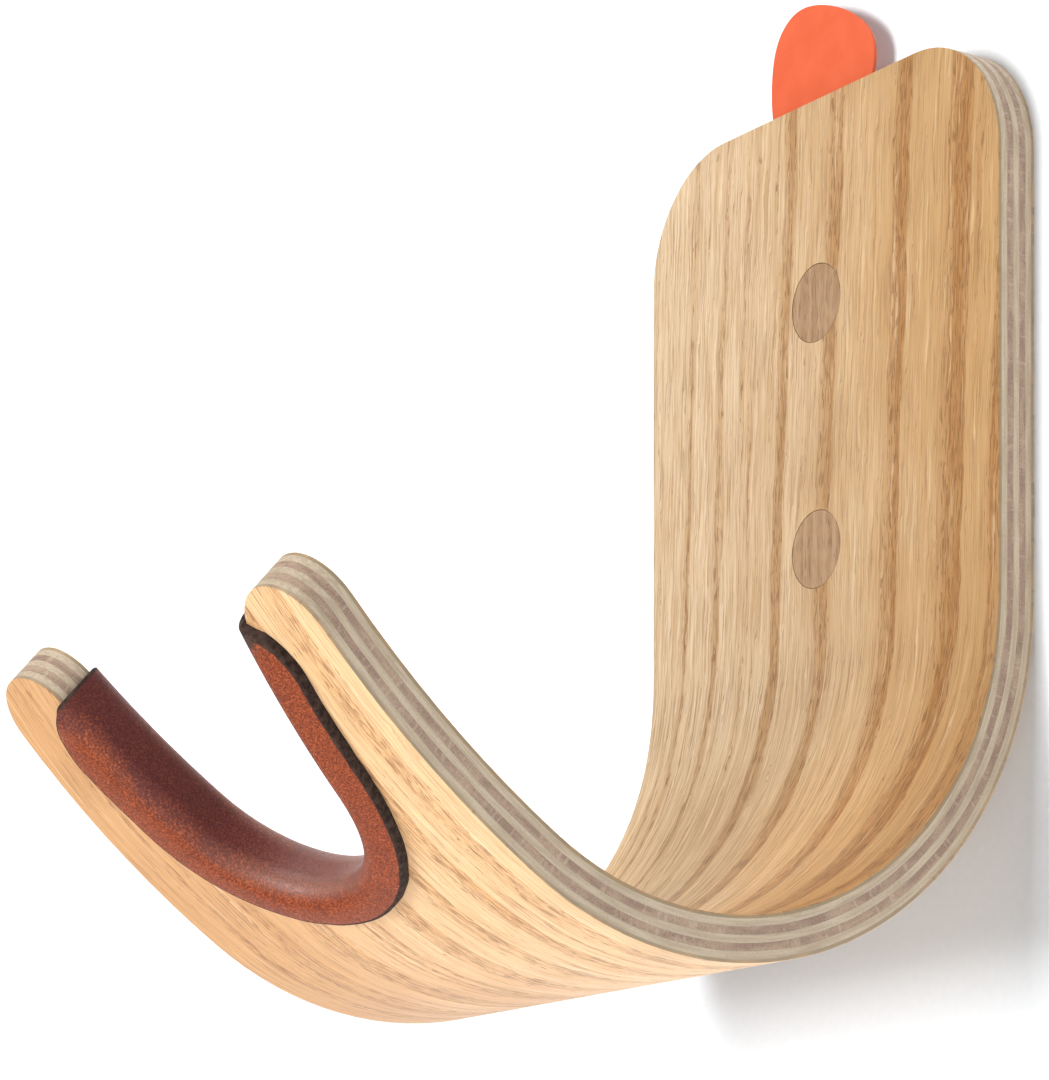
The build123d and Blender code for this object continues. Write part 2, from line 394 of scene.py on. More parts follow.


# The bend tints, painted light on the bend and a redder tone, multiply the other colours, so they may go
# above 1
FRONT_PALETTE = {
    "pale": srgb(218, 194, 163),
    "warm": srgb(189, 151, 103),
    "pale band": srgb(180, 142, 101),
    "warm band": srgb(160, 110, 58),
    "fibre": srgb(176, 138, 90),
    "light": srgb(228, 204, 166),
    "pore": srgb(120, 78, 40),
    "edge": srgb(150, 132, 104),
    "bend painted light": (1.2, 1.04, 0.78, 1.0),
    "warm bend painted light": (1.5, 1.22, 0.84, 1.0),
    "warm side": 1.0,
    "warm range": (-30, 46),
    "pore rows": 4.0,
    "pore limit": 0.55,
    "pore depth": 0.6,
}
BACK_PALETTE = {
    "pale": srgb(242, 207, 165),
    "warm": srgb(200, 154, 106),
    "pale band": srgb(224, 174, 118),
    "warm band": srgb(184, 132, 84),
    "fibre": srgb(216, 168, 118),
    "light": srgb(250, 222, 180),
    "pore": srgb(132, 86, 52),
    "edge": srgb(156, 138, 112),
    "bend painted light": srgb(255, 250, 244),
    "warm bend painted light": srgb(255, 250, 244),
    "warm side": -1.0,
    "warm range": (-40, 34),
    "pore rows": 5.5,
    "pore limit": 0.52,
    "pore depth": 0.7,
}

# Darkness of the growth bands across the sheet, as (millimetres from the middle, darkness)
FRONT_BANDS = (
    (-45, 0.05), (-38.5, 0.1), (-36, 0.5), (-35.2, 0.05), (-30, 0.08), (-27.3, 0.6), (-26.4, 0.05),
    (-21.5, 0.08), (-19.3, 0.45), (-18.6, 0.03), (-13.5, 0.1), (-11.8, 0.7), (-10, 0.8), (-9.2, 0.05),
    (-2, 0.2), (0.8, 0.75), (2.8, 0.8), (3.4, 0.05), (12, 0.0), (15, 0.12), (17.6, 0.7), (19.8, 1.0),
    (20.4, 0.1), (27.5, 0.05), (30.3, 0.4), (33, 1.0), (35.5, 1.0), (36.1, 0.1), (41.5, 0.15),
    (43.6, 0.85), (45, 0.5),
)
BACK_BANDS = (
    (-45, 0.1), (-38, 0.35), (-37, 0.0), (-28, 0.5), (-27, 0.0), (-14, 0.55), (-13, 0.02), (-3, 0.5),
    (-2, 0.0), (8, 0.6), (9, 0.02), (18, 0.6), (19, 0.04), (28, 0.6), (29, 0.05), (38, 0.6), (39, 0.05),
    (45, 0.4),
)


def long_ply_material():
    """Pale inner ply whose grain runs along the sheet: faint long streaks and grey stains."""
    material, tree, shader = new_material("pale_ply")
    across, along, depth = sheet_space(tree)
    streak = layered(tree, across, along, depth, 1.6, 0.12, 1.8, 3.0)
    stain = layered(tree, across, along, depth, 0.2, 0.11, 0.5, 3.0)
    grit = layered(tree, across, along, depth, 3.0, 2.0, 4.0, 2.0)
    colour = tree.mix(tree.remap(streak, 0.35, 0.65), srgb(180, 160, 136), srgb(197, 179, 154))
    colour = tree.mix(tree.remap(stain, 0.5, 0.75, 0.0, 0.45), colour, srgb(152, 136, 108))
    colour = tree.mix(tree.remap(grit, 0.5, 0.75, 0.0, 0.3), colour, srgb(146, 124, 104))
    colour = glue_lines(tree, colour, along, depth)
    tree.feed(shader.inputs["Base Color"], colour)
    tree.feed(shader.inputs["Roughness"], tree.remap(grit, 0.3, 0.7, 0.55, 0.75))
    tree.feed(shader.inputs["Normal"], tree.bump(tree.math("ADD", streak, grit), 0.00006, 0.5))
    return material


def cross_ply_material():
    """Brown inner ply whose grain runs across the sheet: its sides show end grain with fine ticks."""
    material, tree, shader = new_material("brown_ply")
    across, along, depth = sheet_space(tree)
    tick = layered(tree, across, along, depth, 0.06, 1.6, 0.3, 2.0)
    blotch = layered(tree, across, along, depth, 0.05, 0.2, 0.7, 3.0)
    dot = layered(tree, across, along, depth, 0.2, 3.2, 3.2, 1.0)
    colour = tree.mix(tree.remap(blotch, 0.35, 0.65), srgb(150, 124, 106), srgb(174, 148, 126))
    colour = tree.mix(tree.remap(tick, 0.55, 0.68, 0.0, 0.5), colour, srgb(192, 170, 146))
    colour = tree.mix(tree.remap(dot, 0.54, 0.72, 0.0, 0.5), colour, srgb(118, 92, 78))
    colour = glue_lines(tree, colour, along, depth)
    tree.feed(shader.inputs["Base Color"], colour)
    tree.feed(shader.inputs["Roughness"], tree.remap(dot, 0.3, 0.7, 0.6, 0.8))
    tree.feed(shader.inputs["Normal"], tree.bump(tree.math("ADD", tick, dot), 0.00008, 0.6))
    return material


def layered(tree, across, along, depth, across_scale, along_scale, depth_scale, detail):
    """Noise inside a ply, with its own number of repeats per millimetre in each direction."""
    place = tree.vector(
        tree.math("MULTIPLY", across, across_scale),
        tree.math("MULTIPLY", along, along_scale),
        tree.math("MULTIPLY", depth, depth_scale),
    )
    return tree.noise(place, detail=detail)


def glue_lines(tree, colour, along, depth):
    """Darkens a ply's colour next to its two glue lines, more in some places than in others."""
    layer = tree.math("DIVIDE", tree.math("SUBTRACT", depth, FACE_VENEER), PLY)
    place = tree.math("FRACT", layer)
    from_line = tree.math("MINIMUM", place, tree.math("SUBTRACT", 1.0, place))
    near = tree.remap(from_line, 0.0, 0.1, 1.0, 0.0)
    patch = stretched(tree, depth, along, 0.4, 0.09, 30.0, 3.0)
    share = tree.math("MULTIPLY", near, tree.remap(patch, 0.45, 0.7, 0.08, 0.5))
    return tree.mix(share, colour, srgb(96, 80, 60))


def plug_material():
    """Wooden plug, cut from grey-brown ash: upright grain with a few dark pore rows."""
    material, tree, shader = new_material("plug_ash")
    across, along, depth = sheet_space(tree)
    line = straight_grain(tree, across, along, 1.2, 0.02)
    row = stretched(tree, line, along, 0.75, 0.01, 21.0, 1.0)
    fibre = stretched(tree, line, along, 3.5, 0.12, 4.0, 3.0)
    dash = stretched(tree, line, along, 2.6, 0.3, 6.0, 1.0)
    cloud = stretched(tree, across, along, 0.35, 0.3, 11.0, 3.0)
    colour = tree.mix(tree.remap(row, 0.42, 0.6), srgb(173, 140, 105), srgb(154, 119, 86))
    colour = tree.mix(tree.remap(cloud, 0.4, 0.65, 0.0, 0.35), colour, srgb(177, 146, 113))
    colour = tree.mix(tree.remap(fibre, 0.42, 0.7, 0.0, 0.4), colour, srgb(141, 110, 86))
    pore = tree.remap(dash, 0.56, 0.66)
    colour = tree.mix(tree.math("MULTIPLY", pore, 0.5), colour, srgb(116, 84, 62))
    tree.feed(shader.inputs["Base Color"], colour)
    tree.feed(shader.inputs["Roughness"], tree.remap(fibre, 0.3, 0.7, 0.45, 0.6))
    tree.feed(shader.inputs["Normal"], tree.bump(tree.math("SUBTRACT", fibre, pore), 0.00008, 0.6))
    return material


# ---------------------------------------------------------------- leather, plastic and steel

def leather_material():
    """Oiled pull-up leather: dark in the throat, rust over the fold and the margin, black at its cuts."""
    material, tree, shader = new_material("saddle_leather")
    place = tree.node("ShaderNodeTexCoord").outputs["Object"]
    stretch = tree.node("ShaderNodeAttribute", attribute_name="stretch").outputs["Fac"]
    cut = tree.node("ShaderNodeAttribute", attribute_name="cut").outputs["Fac"]
    worn = tree.node("ShaderNodeAttribute", attribute_name="worn").outputs["Fac"]

    cloud = tree.noise(place, 90.0, detail=4.0, roughness=0.6)
    patch = tree.noise(place, 260.0, detail=3.0, roughness=0.6)
    mottle = tree.noise(place, 1100.0, detail=3.0, roughness=0.6)
    grain = tree.noise(place, 3000.0, detail=2.0, roughness=0.6)
    pebble = tree.cells(place, 3200.0)
    share = tree.math("ADD", stretch, tree.remap(cloud, 0.3, 0.7, -0.2, 0.2))
    share = tree.math("ADD", share, tree.remap(mottle, 0.3, 0.7, -0.08, 0.08))
    throat_colour = tree.mix(worn, srgb(92, 46, 45), srgb(122, 66, 56))
    colour = tree.mix(tree.remap(share, 0.2, 0.95), throat_colour, srgb(132, 62, 36))
    speck = tree.math("MULTIPLY", tree.remap(grain, 0.48, 0.68), tree.remap(share, 0.1, 0.8, 0.2, 0.75))
    colour = tree.mix(speck, colour, srgb(180, 93, 56))
    colour = tree.mix(tree.remap(grain, 0.52, 0.34, 0.0, 0.65), colour, srgb(80, 38, 30))
    colour = tree.mix(tree.remap(patch, 0.5, 0.7, 0.0, 0.35), colour, srgb(96, 48, 38))
    ragged = tree.math("ADD", cut, tree.remap(mottle, 0.3, 0.7, -0.12, 0.12))
    edge = tree.remap(ragged, 0.25, 0.65)
    cut_colour = tree.mix(tree.remap(mottle, 0.35, 0.65), srgb(44, 33, 30), srgb(72, 57, 50))
    colour = tree.mix(edge, colour, cut_colour)

    # The fold is burnished by guitar necks and glossier there; the greyish colour mixed in over it is a
    # painted highlight
    fold = tree.math("MULTIPLY", tree.remap(stretch, 0.05, 0.4), tree.remap(stretch, 1.0, 0.6))
    burnish_and_painted_highlight = tree.math("MULTIPLY", fold, tree.math("MULTIPLY_ADD", worn, 0.9, 0.1))
    colour = tree.mix(tree.math("MULTIPLY", burnish_and_painted_highlight, 0.35), colour, srgb(150, 112, 96))
    height = tree.math("MULTIPLY_ADD", pebble, 0.6, grain)
    rough = tree.math("ADD", tree.remap(mottle, 0.3, 0.7, 0.4, 0.54), tree.math("MULTIPLY", edge, 0.35))
    tree.feed(shader.inputs["Base Color"], tree.calm(colour))
    tree.feed(shader.inputs["Roughness"], rough)
    tree.feed(shader.inputs["Normal"], tree.bump(height, 0.00008, 0.5))
    tree.feed(shader.inputs["Specular IOR Level"], tree.math("MULTIPLY_ADD", burnish_and_painted_highlight, 0.6, 0.1))
    return material


def pick_material():
    """Matte coral celluloid with a very fine moulded grain."""
    material, tree, shader = new_material("coral_plastic")
    place = tree.node("ShaderNodeTexCoord").outputs["Object"]
    cloud = tree.noise(place, 220.0, detail=3.0)
    grain = tree.noise(place, 5200.0, detail=2.0)
    colour = tree.mix(tree.remap(cloud, 0.3, 0.7), srgb(211, 93, 58), srgb(216, 99, 64))
    colour = tree.mix(tree.remap(grain, 0.55, 0.75, 0.0, 0.15), colour, srgb(226, 122, 92))
    tree.feed(shader.inputs["Base Color"], tree.calm(colour))
    tree.feed(shader.inputs["Roughness"], tree.remap(grain, 0.3, 0.7, 0.5, 0.62))
    tree.feed(shader.inputs["Normal"], tree.bump(grain, 0.00002, 0.4))
    tree.feed(shader.inputs["Specular IOR Level"], 0.15)
    return material


def steel_material():
    """Zinc-plated screw steel: cool grey, faintly yellow in patches, with turning marks."""
    material, tree, shader = new_material("zinc_steel")
    place = tree.node("ShaderNodeTexCoord").outputs["Object"]
    patch = tree.noise(place, 300.0, detail=4.0)
    scratch = tree.noise(place, 2500.0, detail=3.0, distortion=1.5)
    colour = tree.mix(tree.remap(patch, 0.35, 0.65), srgb(176, 178, 180), srgb(206, 200, 184))
    tree.feed(shader.inputs["Base Color"], colour)
    tree.feed(shader.inputs["Metallic"], 1.0)
    tree.feed(shader.inputs["Roughness"], tree.remap(scratch, 0.3, 0.7, 0.25, 0.45))
    tree.feed(shader.inputs["Normal"], tree.bump(scratch, 0.00002, 0.5))
    return material


# ---------------------------------------------------------------- pieces

def mesh_piece(name, points, faces, material, body, stands_for):
    """A piece from points in metres, smooth shaded, riding on a body and standing for a CAD node."""
    mesh = bpy.data.meshes.new(name)
    mesh.from_pydata([tuple(point) for point in points], [], faces)
    mesh.validate()
    edit = bmesh.new()
    edit.from_mesh(mesh)
    bmesh.ops.recalc_face_normals(edit, faces=edit.faces)
    edit.to_mesh(mesh)
    edit.free()
    mesh.polygons.foreach_set("use_smooth", [True] * len(mesh.polygons))
    mesh.materials.append(material)
    piece = bpy.data.objects.new(name, mesh)
    bpy.context.scene.collection.objects.link(piece)
    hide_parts(stands_for)
    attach(piece, body)
    return piece


def fork_point(x, y, depth):
    """Fork-plane place (x, y) and depth below the concave face, in mm, as points in the frame, in metres."""
    turn = math.radians(FORK_ANGLE)
    outwards = np.array([math.cos(turn), -math.sin(turn)])
    tipwards = np.array([-math.sin(turn), -math.cos(turn)])
    origin = np.array(polar(ARM_CENTRE, ARM_RADIUS, FORK_ANGLE))
    swing = FORK_DISTANCE / ARM_RADIUS
    bend_y = -(ARM_RADIUS - BEND_RADIUS) * math.sin(swing)
    bend_z = -ARM_RADIUS + (ARM_RADIUS - BEND_RADIUS) * math.cos(swing)
    on_arm = np.sqrt((ARM_RADIUS + depth) ** 2 - y**2) - ARM_RADIUS
    on_bend = np.sqrt((BEND_RADIUS + depth) ** 2 - (y - bend_y) ** 2) + bend_z
    height = np.where(y < -math.tan(swing) * (ARM_RADIUS + on_arm), on_bend, on_arm)
    profile = origin + y[:, None] * tipwards + height[:, None] * outwards
    return np.column_stack([x, profile]) * MM


class LiningSide:
    """One half of the lining on the fork plane: the throat's wall and the lining's outline beside it."""

    def __init__(self, end_radius, end_centre, dark_end):
        flare = math.radians(FLARE)
        self.dark_end = dark_end
        self.end_radius = end_radius
        self.end_centre = np.array(end_centre)
        self.throat_sweep = math.radians(90 - FLARE)
        self.wall_way = np.array([math.sin(flare), math.cos(flare)])
        self.wall_normal = np.array([math.cos(flare), -math.sin(flare)])
        self.wall_start = np.array([0, THROAT_CENTRE]) + THROAT_RADIUS * self.wall_normal

        # The wall stops where the small circle round the lining's end crosses it
        to_centre = self.end_centre - self.wall_start
        along_wall = to_centre @ self.wall_way
        aside = to_centre @ self.wall_normal
        self.wall_run = along_wall + math.sqrt(end_radius**2 - aside**2)
        wall_end = self.wall_start + self.wall_run * self.wall_way
        self.throat_length = THROAT_RADIUS * self.throat_sweep
        self.length = self.throat_length + self.wall_run

        # Outline: a wide arc round the throat, a straight run and the small arc round the end
        rise = self.end_centre[1] - LINING_CENTRE
        reach = math.hypot(self.end_centre[0], rise)
        narrowing = LINING_RADIUS - end_radius
        self.tangent = math.atan2(rise, self.end_centre[0]) - math.acos(narrowing / reach)
        self.run = math.sqrt(reach**2 - narrowing**2)
        last = wall_end - self.end_centre
        self.end_sweep = math.atan2(last[1], last[0]) - self.tangent

    def wall(self, gone):
        """Point and outward normal of the throat's wall, this far from its middle."""
        if gone < self.throat_length:
            turn = gone / THROAT_RADIUS - math.pi / 2
            normal = np.array([math.cos(turn), math.sin(turn)])
            return np.array([0, THROAT_CENTRE]) + THROAT_RADIUS * normal, normal
        return self.wall_start + (gone - self.throat_length) * self.wall_way, self.wall_normal

    def rim(self, gone):
        """Point of the outline that belongs to the same place of the wall."""
        if gone < self.throat_length:
            turn = gone / self.throat_length * (self.tangent + math.pi / 2) - math.pi / 2
            return np.array([0, LINING_CENTRE]) + LINING_RADIUS * np.array([math.cos(turn), math.sin(turn)])
        share = (gone - self.throat_length) / self.wall_run
        rim_gone = share * (self.run + self.end_radius * self.end_sweep)
        if rim_gone < self.run:
            normal = np.array([math.cos(self.tangent), math.sin(self.tangent)])
            foot = np.array([0, LINING_CENTRE]) + LINING_RADIUS * normal
            return foot + rim_gone * np.array([-normal[1], normal[0]])
        turn = self.tangent + (rim_gone - self.run) / self.end_radius
        return self.end_centre + self.end_radius * np.array([math.cos(turn), math.sin(turn)])


def fold_depth(inset, margin, leather):
    """Depth of the leather's outer face this far from the throat's wall, over the fold and the margin.

    Past the fold the leather is pared thinner towards its cut edge."""
    fold_end = FOLD_RADIUS - leather
    top = THICKNESS + leather
    if inset < fold_end:
        return top - FOLD_RADIUS + math.sqrt(max(FOLD_RADIUS**2 - (fold_end - inset) ** 2, 0.0))
    flat = margin - fold_end
    return top - PARING * min(flat / PARING_RUN, 1.0) * ((inset - fold_end) / flat) ** 2


def lining_section(margin, leather):
    """Half of the lining's section, from its cut edge over the fold to mid-thickness.

    Each point is (distance from the throat's wall, depth, stretch of the leather, rawness of the cut)."""
    rounding = min(CUT_ROUNDING, 0.5 * margin + 0.1)
    shoulder = margin - rounding
    shoulder_depth = fold_depth(shoulder, margin, leather)
    rise = shoulder_depth - THICKNESS
    points = [(margin, THICKNESS + 0.1 * rise, 1.0, 1.0), (margin, THICKNESS + 0.4 * rise, 1.0, 1.0)]
    for step in range(CUT_STEPS + 1):
        turn = math.radians(90) * step / CUT_STEPS
        inset = shoulder + rounding * math.cos(turn)
        depth = shoulder_depth - rounding * (1 - math.sin(turn))
        points.append((inset, depth, 1.0, 1.0 - 0.1 * step))

    fold_end = FOLD_RADIUS - leather
    flat_end = min(fold_end, shoulder - 0.02)
    for step in range(1, MARGIN_STEPS + 1):
        inset = shoulder + (flat_end - shoulder) * step / MARGIN_STEPS
        points.append((inset, fold_depth(inset, margin, leather), 1.0, 0.0))
    first_turn = math.asin((fold_end - flat_end) / FOLD_RADIUS)
    for step in range(1, FOLD_STEPS + 1):
        turn = first_turn + (math.radians(90) - first_turn) * step / FOLD_STEPS
        inset = fold_end - FOLD_RADIUS * math.sin(turn)
        depth = THICKNESS + leather - FOLD_RADIUS * (1 - math.cos(turn))
        points.append((inset, depth, 1 - turn / math.radians(90), 0.0))
    fold_bottom = points[-1][1]
    for step in range(1, WALL_STEPS + 1):
        depth = fold_bottom + (THICKNESS / 2 - fold_bottom) * step / WALL_STEPS
        points.append((-leather, depth, 0.0, 0.0))
    return points


def lining_stations():
    """Places along the lining, from its left end to its right.

    Each is (left -1 or right 1, side, distance from the middle, share of the end's rounding)."""
    left = LiningSide(LEFT_END_RADIUS, LEFT_END_CENTRE, LEFT_DARK_END)
    right = LiningSide(RIGHT_END_RADIUS, RIGHT_END_CENTRE, RIGHT_DARK_END)
    stations = []
    for way, side in ((-1, left), (1, right)):
        plain = side.length - CUT_ROUNDING
        half = [(way, side, plain * step / LENGTH_STEPS, 0.0) for step in range(LENGTH_STEPS + 1)]
        for step in range(1, END_STEPS + 1):
            turn = math.radians(90) * step / END_STEPS
            half.append((way, side, plain + CUT_ROUNDING * math.sin(turn), 1 - math.cos(turn)))
        stations.append(half)
    return stations[0][:0:-1] + stations[1]


def make_leather_lining():
    """Leather folded over both faces of the throat, as a swept section with soft folds and raw cut edges."""
    stations = lining_stations()
    points = []
    stretch = []
    cut = []
    worn = []
    for way, side, gone, rounded in stations:
        wall, normal = side.wall(gone)
        rim = side.rim(gone)
        wobble = noise.noise(Vector((RIM_WOBBLE_RATE * way * gone, 2.5, 0.0)))
        ray = rim - wall
        margin = np.linalg.norm(ray)
        direction = ray + FLARE_AT_RIM * normal
        direction = direction / np.linalg.norm(direction)
        margin = max(margin + RIM_WOBBLE * wobble * min(margin / 4, 1.0), 0.15)
        leather = LEATHER - CUT_ROUNDING * rounded
        from_end = side.length - gone
        darkened = max(rounded, 1 - from_end / side.dark_end, 0.0)
        wear = max(1 - gone / WORN_LENGTH, 0.0)
        half = lining_section(margin, leather)
        mirrored = [(inset, THICKNESS - depth, pull, raw) for inset, depth, pull, raw in half[-2::-1]]
        inner = [(margin, -LINING_GAP), (margin / 2, -LINING_GAP), (-LINING_GAP, -LINING_GAP)]
        inner += [(-LINING_GAP, THICKNESS / 2)]
        inner += [(inset, THICKNESS - depth) for inset, depth in inner[2::-1]]
        for inset, depth, pull, raw in half + mirrored + [(*place, 1.0, 1.0) for place in inner]:
            bend = min(max((inset + LEATHER) / (FOLD_RADIUS + LEATHER), 0.0), 1.0)
            heading = normal * (1 - bend) + direction * bend
            place = wall + inset * heading
            points.append((way * place[0], place[1], depth))
            stretch.append((pull + 0.3 * wear) * min(0.4 + from_end / STRETCH_FADE, 1.0))
            cut.append(max(raw, darkened))
            worn.append(wear)
    ring = len(points) // len(stations)
    table = np.array(points)
    placed = fork_point(table[:, 0], table[:, 1], table[:, 2])

    faces = []
    for station in range(len(stations) - 1):
        first = station * ring
        for step in range(ring):
            following = (step + 1) % ring
            faces.append((first + step, first + following, first + ring + following, first + ring + step))
    faces.append(tuple(range(ring))[::-1])
    faces.append(tuple(range((len(stations) - 1) * ring, len(stations) * ring)))
    material = leather_material()
    piece = mesh_piece("lining", placed, faces, material, "hanger", "leather_lining")
    for end in piece.data.polygons[-2:]:
        end.use_smooth = False
    for name, values in (("stretch", stretch), ("cut", cut), ("worn", worn)):
        attribute = piece.data.attributes.new(name, "FLOAT", "POINT")
        attribute.data.foreach_set("value", np.array(values, np.float32))
    return piece


def recess_depth(x, z):
    """How deep the screwdriver's cross recess is at a place of the head, in mm."""
    def within(distance, half):
        return min(max((half - abs(distance)) / RECESS_SLOPE + 0.5, 0.0), 1.0)
    upright = within(x, RECESS_WIDTH / 2) * within(z, RECESS_SPAN / 2)
    level = within(z, RECESS_WIDTH / 2) * within(x, RECESS_SPAN / 2)
    return RECESS_DEPTH * max(upright, level)


def thread_radius(y, angle):
    """Radius of the screw at a place of its threaded part, in mm."""
    taper = min((SCREW_END - y) / (SCREW_END - THREAD_END), 1.0)
    runout = min(y / THREAD_PITCH, 1.0)
    phase = (y / THREAD_PITCH - angle / (2 * math.pi)) % 1.0
    crest = max(0.0, 1 - abs(phase - 0.5) / THREAD_FLANK)
    return taper * (THREAD_CORE + (THREAD_RADIUS - THREAD_CORE) * crest * runout)


def make_screw(name, stands_for, height, steel):
    """Pan-head wood screw with a cross recess and a helical thread, turned about the Y direction."""
    count = SCREW_SIDES
    rows = []
    flat = HEAD_RADIUS - HEAD_ROUNDING
    for step in range(1, HEAD_STEPS + 1):
        rows.append((flat * step / HEAD_STEPS, HEAD_TOP, True))
    for step in range(1, ROUNDING_STEPS + 1):
        turn = math.radians(90) * step / ROUNDING_STEPS
        out = flat + HEAD_ROUNDING * math.sin(turn)
        rows.append((out, HEAD_TOP + HEAD_ROUNDING * (1 - math.cos(turn)), False))
    rows += [(HEAD_RADIUS, HEAD_SEAT - 0.1, False), (HEAD_RADIUS - 0.1, HEAD_SEAT, False)]
    rows += [(NECK_RADIUS + 0.1, HEAD_SEAT, False), (NECK_RADIUS, HEAD_SEAT + 0.1, False)]
    rows += [(NECK_RADIUS, -0.2, False)]
    points = [(0.0, HEAD_TOP + RECESS_DEPTH, 0.0)]
    for radius, y, top in rows:
        for step in range(count):
            angle = 2 * math.pi * step / count
            x = radius * math.cos(angle)
            z = radius * math.sin(angle)
            points.append((x, y + (recess_depth(x, z) if top else 0.0), z))
    thread_rows = ROWS_PER_TURN * int(SCREW_END / THREAD_PITCH)
    for row in range(thread_rows):
        y = (SCREW_END - 0.1) * row / (thread_rows - 1)
        for step in range(count):
            angle = 2 * math.pi * step / count
            radius = thread_radius(y, angle)
            points.append((radius * math.cos(angle), y, radius * math.sin(angle)))
    points.append((0.0, SCREW_END, 0.0))
    placed = [(x * MM, y * MM, (z + height) * MM) for x, y, z in points]

    last = len(placed) - 1
    faces = []
    for step in range(count):
        following = (step + 1) % count
        faces.append((0, 1 + step, 1 + following))
        for low in range(1, last - count, count):
            faces.append((low + step, low + count + step, low + count + following, low + following))
        faces.append((last, last - count + following, last - count + step))
    return mesh_piece(name, placed, faces, steel, "hanger", stands_for)


def pick_outline(inset, count):
    """The plectrum's outline moved inwards by an inset, in its own plane, in mm.

    It is the hull of its circles with the corners between them eased: how far it reaches in each direction
    is a soft maximum over the circles, and the way that reach changes gives the place along the tangent.
    """
    outline = []
    for step in range(count):
        angle = 2 * math.pi * step / count
        ahead = np.array([math.cos(angle), math.sin(angle)])
        aside = np.array([-ahead[1], ahead[0]])
        reaches = np.array([cx * ahead[0] + cy * ahead[1] + r for cx, cy, r in PICK_CIRCLES])
        shares = np.exp((reaches - reaches.max()) / PICK_EASING)
        reach = reaches.max() + PICK_EASING * math.log(shares.sum())
        slides = np.array([cx * aside[0] + cy * aside[1] for cx, cy, r in PICK_CIRCLES])
        outline.append((reach - inset) * ahead + (shares @ slides) / shares.sum() * aside)
    return outline


def make_pick():
    """Plectrum with rounded edges, leaning in its slot."""
    rings = []
    for step in range(EDGE_STEPS + 1):
        turn = math.radians(-90 + 180 * step / EDGE_STEPS)
        height = PICK_ROUNDING * math.sin(turn)
        if step != EDGE_STEPS / 2:
            height += math.copysign(PICK_THICKNESS / 2 - PICK_ROUNDING, height)
        rings.append((PICK_ROUNDING * (1 - math.cos(turn)), height))
    count = PICK_POINTS
    lean = math.radians(PICK_TILT)
    middle = FRONT / 2
    points = []
    for inset, height in rings:
        for x, y in pick_outline(inset, count):
            across = PICK_TIP[0] + x * math.cos(lean) - y * math.sin(lean)
            up = PICK_TIP[1] + x * math.sin(lean) + y * math.cos(lean)
            points.append((across * MM, (middle + height) * MM, up * MM))
    faces = []
    for ring in range(len(rings) - 1):
        for step in range(count):
            following = (step + 1) % count
            low = ring * count
            faces.append((low + step, low + count + step, low + count + following, low + following))
    faces.append(tuple(range(count)))
    faces.append(tuple(range((len(rings) - 1) * count, len(rings) * count))[::-1])
    return mesh_piece("pick", points, faces, pick_material(), "pick", "guitar_pick")


# ---------------------------------------------------------------- materials on the CAD nodes

def dress(node, material):
    """Gives a CAD node one material in place of its plain finish."""
    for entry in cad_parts[node].material_slots:
        entry.material = material


dress("front_face_veneer", ash_material("ash_front", FRONT_PALETTE, FRONT_BANDS, 3.0, 0.05, True))
dress("back_face_veneer", ash_material("ash_back", BACK_PALETTE, BACK_BANDS, 4.0, -0.02, False))
pale_ply = long_ply_material()
brown_ply = cross_ply_material()
for ply_name in ("front_long_ply", "core_ply", "back_long_ply"):
    dress(ply_name, pale_ply)
for ply_name in ("front_cross_ply", "back_cross_ply"):
    dress(ply_name, brown_ply)
plug_wood = plug_material()
for plug_name in ("upper_plug", "lower_plug"):
    dress(plug_name, plug_wood)

steel = steel_material()
for screw_name in ("upper_screw", "lower_screw"):
    low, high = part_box(screw_name)
    make_screw(f"{screw_name}_threaded", screw_name, (low.z + high.z) / 2 / MM, steel)
make_leather_lining()
make_pick()


# ---------------------------------------------------------------- stage, lights and camera

def stage_plane(name, centre, across, upward, size, material):
    """A square backdrop around a centre, spanned by two directions."""
    corners = []
    for right, up in ((-1, -1), (1, -1), (1, 1), (-1, 1)):
        corners.append(Vector(centre) + size * (right * Vector(across) + up * Vector(upward)))
    mesh = bpy.data.meshes.new(name)
    mesh.from_pydata([tuple(corner) for corner in corners], [], [(0, 1, 2, 3)])
    mesh.materials.append(material)
    plane = bpy.data.objects.new(name, mesh)
    bpy.context.scene.collection.objects.link(plane)
    return plane


def wall_material():
    """White plaster, seen only from the room's side."""
    material, tree, shader = new_material("white_wall")
    place = tree.node("ShaderNodeTexCoord").outputs["Object"]
    speckle = tree.noise(place, 700.0, detail=3.0)
    tree.feed(shader.inputs["Base Color"], tree.mix(speckle, srgb(235, 239, 243), srgb(243, 246, 249)))
    tree.feed(shader.inputs["Roughness"], 0.9)
    behind = tree.node("ShaderNodeNewGeometry").outputs["Backfacing"]
    clear = tree.node("ShaderNodeBsdfTransparent").outputs[0]
    surface = tree.node("ShaderNodeMixShader", {0: behind, 1: shader.outputs[0], 2: clear}).outputs[0]
    tree.feed(material.node_tree.nodes["Material Output"].inputs["Surface"], surface)
    return material


def floor_material():
    """Pale matte floor."""
    material, tree, shader = new_material("pale_floor")
    place = tree.node("ShaderNodeTexCoord").outputs["Object"]
    tone = tree.noise(place, 3.0, detail=3.0)
    tree.feed(shader.inputs["Base Color"], tree.mix(tone, srgb(240, 239, 237), srgb(246, 245, 243)))
    tree.feed(shader.inputs["Roughness"], 0.9)
    tree.feed(shader.inputs["Specular IOR Level"], 0.1)
    tree.feed(shader.inputs["Emission Color"], srgb(250, 250, 249))
    seen = tree.node("ShaderNodeLightPath").outputs["Is Camera Ray"]
    tree.feed(shader.inputs["Emission Strength"], tree.choose(seen, 0.5, 0.78))
    return material


# The wall stands a hair behind the hanger's back, and lets the light from behind it through
WALL_GAP = 0.0002
wall = stage_plane("wall", (0, WALL_GAP, 0.3), (1, 0, 0), (0, 0, 1), 1.6, wall_material())
wall.visible_shadow = False
stage_plane("floor", (0, 0, -2.2), (1, 0, 0), (0, 1, 0), 40.0, floor_material())


